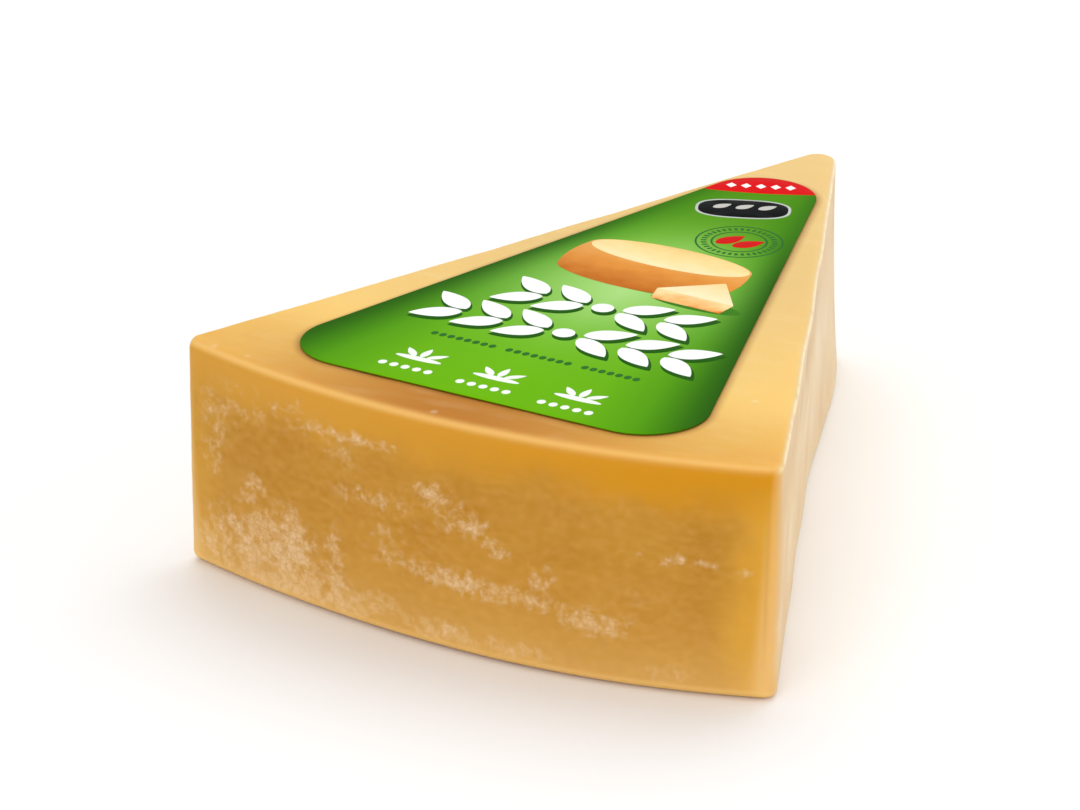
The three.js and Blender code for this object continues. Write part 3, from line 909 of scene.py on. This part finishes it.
printed("plaque_rim", "#c3c7c2", [cushion(PLAQUE_AT, wide=15.2, high=8.6, angle=UPPER_SLANT)],
        layer=0, rough=0.3)
printed("plaque_field", "#0b0d0f", [cushion(PLAQUE_AT, wide=14.3, high=7.7, angle=UPPER_SLANT)],
        layer=1)
plaque_along = np.array((math.cos(UPPER_SLANT), math.sin(UPPER_SLANT)))
printed("plaque_leaves", "#c4c2bc", [
    leaf(np.array(PLAQUE_AT) + plaque_along * step, length=3.4, width=1.7, angle=UPPER_SLANT + 0.6)
    for step in (-4.8, -1.2, 2.4)], layer=2, rough=0.3)

ticks = [circle_path(SEAL_AT, (SEAL_OUTER + SEAL_INNER) / 2, angle, angle + TICK_ANGLE, 3)
         for angle in 2 * math.pi * np.arange(TICKS) / TICKS]
printed("seal_lines", "#2c6a2f", [
    stroke(circle_path(SEAL_AT, SEAL_OUTER), SEAL_LINE, layer=0),
    stroke(circle_path(SEAL_AT, SEAL_INNER), SEAL_LINE, layer=0),
    *(stroke(tick, TICK_LENGTH, layer=0) for tick in ticks)], layer=0)
printed("seal_leaves", "#d11313", [
    leaf((0.9, 72.2), length=5.5, width=2.8, angle=math.radians(64)),
    leaf((3.7, 72.2), length=5.5, width=2.8, angle=math.radians(52))], layer=1)


# ---- Picture on the label --------------------------------------------------------------------
# A simple picture of a round cheese seen from above its side, with one cut piece in front of it,
# in cream and orange-brown fields, each shaded a little from its foot to its top.

WHEEL_AT = (-2.0, 57.6)
WHEEL_WIDE = 28.0
WHEEL_LID = 9.2
WHEEL_TALL = 9.8
WHEEL_BULGE = 0.07  # of its height


def up_the_label(stops, low_y, high_y):
    """An ink that changes from one colour to the next up the label, between two of its heights in
    millimetres, moved by up to 3 mm of mottling."""
    def colour(tree):
        where = add(tree, "TexCoord").outputs["Object"]
        origin = (*(LABEL_AT + plan_shift), 0)
        moved = add(tree, "VectorMath", {0: where, 1: origin}, operation="SUBTRACT")
        up = add(tree, "VectorMath", {0: moved, 1: (*LABEL_AXES[1], 0)}, operation="DOT_PRODUCT")
        mottle = add(tree, "TexNoise", {"Vector": where, "Scale": pattern(2.5), "Detail": 4.0})
        reach = unsettled(tree, up.outputs["Value"], mottle, 6 * MM)
        share = add(tree, "MapRange", {0: reach, 1: low_y * MM, 2: high_y * MM})
        return add(tree, "ValToRGB", {0: share}, stops).outputs[0]
    return colour


def drum(at, wide, lid, tall, steps=48):
    """The outline of a round cheese: the near half of a lower oval, bulging sides and the far
    half of an upper oval."""
    t = math.pi * np.arange(steps + 1) / steps
    near = np.column_stack((-wide / 2 * np.cos(t), -lid / 2 * np.sin(t) - tall / 2))
    rise = np.linspace(-1, 1, 14)[1:-1, None]
    side = wide / 2 + tall * WHEEL_BULGE * (1 - rise ** 2)
    right = np.hstack((side, rise * tall / 2))
    far = np.column_stack((wide / 2 * np.cos(t), lid / 2 * np.sin(t) + tall / 2))
    left = np.hstack((-side, -rise * tall / 2))
    return turned(np.vstack((near, right, far, left)) * MM, 0.0, at)


side_ink = up_the_label(((0.0, "#b9651f"), (0.45, "#dd8f3a"), (1.0, "#eeb365")), 48, 66)
printed("wheel_side", side_ink, [drum(WHEEL_AT, WHEEL_WIDE, WHEEL_LID, WHEEL_TALL)], layer=1)
lid_ink = up_the_label(((0.0, "#fbe7b6"), (0.5, "#f7dc9c"), (1.0, "#f2cf85")), 58, 67)
lid_at = (WHEEL_AT[0], WHEEL_AT[1] + WHEEL_TALL / 2 + 0.2)
printed("wheel_lid", lid_ink, [oval(lid_at, wide=WHEEL_WIDE - 0.8, high=WHEEL_LID - 0.6)], layer=2)

piece_top = np.array(((2.4, 50.6), (15.6, 50.0), (10.4, 57.6))) * MM
piece_side = np.array(((2.4, 50.6), (3.4, 46.6), (15.2, 46.2), (15.6, 50.0))) * MM
piece_ink = up_the_label(((0.0, "#e07c2c"), (0.3, "#f2b46a"), (1.0, "#fbdc9f")), 45.5, 50.5)
printed("piece_side", piece_ink, [evenly(piece_side, 60)], layer=3)
cream_ink = up_the_label(((0.0, "#fdecc4"), (1.0, "#f6d694")), 49, 58)
printed("piece_top", cream_ink, [evenly(piece_top, 60)], layer=4)


# ---- Ornament of the label -------------------------------------------------------------------
# Two bold garlands of white leaves with a dark green shadow. Below them are a thin line of dark
# green dots and three white dishes, each with a sprig of three leaves and a row of dots.

# All of these are in millimetres of the label's plan
SHADOW_BY = np.array((0.7, -0.9))
SHADOW_GROWS = 0.4
GARLAND_MIDDLE = -0.6
BERRY = 3.4
FIRST_PAIR = 3.0
LEAF_LENGTH = 8.0
LEAF_WIDTH = 3.7
LEAF_SLANT = math.radians(34)
LEAF_PITCH = 7.0
LEAF_LIFT = 0.55
ROWS = ((39.2, 2), (27.6, 3))  # height of a row, leaf pairs on each side of its berry


def garland(height, pairs, shift, grow):
    """Pairs of leaves along a row, slanting outwards from a round berry in its middle."""
    shapes = [oval(np.array((GARLAND_MIDDLE, height)) + shift, BERRY + grow, BERRY + grow)]
    for side in (-1, 1):
        for i in range(pairs):
            x = GARLAND_MIDDLE + side * (FIRST_PAIR + LEAF_PITCH * i)
            for up in (-1, 1):
                angle = math.pi / 2 * (1 - side) + side * up * LEAF_SLANT
                foot = np.array((x, height + up * LEAF_LIFT)) + shift
                shapes.append(leaf(foot, LEAF_LENGTH + grow, LEAF_WIDTH + grow, angle))
    return shapes


printed("ornament_shadow", "#20590a",
        [shape for row in ROWS for shape in garland(*row, SHADOW_BY, SHADOW_GROWS)], layer=0)
printed("ornament_leaves", "#fbfcfa",
        [shape for row in ROWS for shape in garland(*row, np.zeros(2), 0.0)], layer=1)

printed("picture_shadow", "#3c7c1c", [
    oval((WHEEL_AT[0] + 1.5, WHEEL_AT[1] - 5.2), wide=27.0, high=8.6),
    oval((10.5, 47.6), wide=15.0, high=4.2)], layer=0)

DOTS_HEIGHT = 17.7
DOT_GROUP = 9  # the first of each such group of dots is left out
dots = [oval((x, DOTS_HEIGHT), wide=1.1, high=1.4, steps=16)
        for i, x in enumerate(np.linspace(-18, 17, 26)) if i % DOT_GROUP]
printed("small_dots", "#2f7024", dots, layer=0)

SIGNS = ((-13.4, 9.6), (-0.2, 9.2), (13.4, 8.8))
SPRIG_SPREAD = 24  # degrees for each millimetre from the middle
DOT_PITCH = 1.9
dishes = [oval((x, y - 1.6), wide=7.6, high=1.4, steps=32) for x, y in SIGNS]
sprigs = [leaf((x + step * 0.5, y - 1.0), length=3.4, width=1.2,
               angle=math.radians(90 - step * SPRIG_SPREAD))
          for x, y in SIGNS for step in (-1.9, 0.0, 1.9)]
sign_dots = [oval((x + (i - 2) * DOT_PITCH, y - 5.2), wide=1.3, high=1.5, steps=12)
             for x, y in SIGNS for i in range(5)]
printed("dish_signs", "#f4f7f0", dishes + sign_dots, layer=0)
printed("dish_sprigs", "#f4f7f0", sprigs, layer=1)
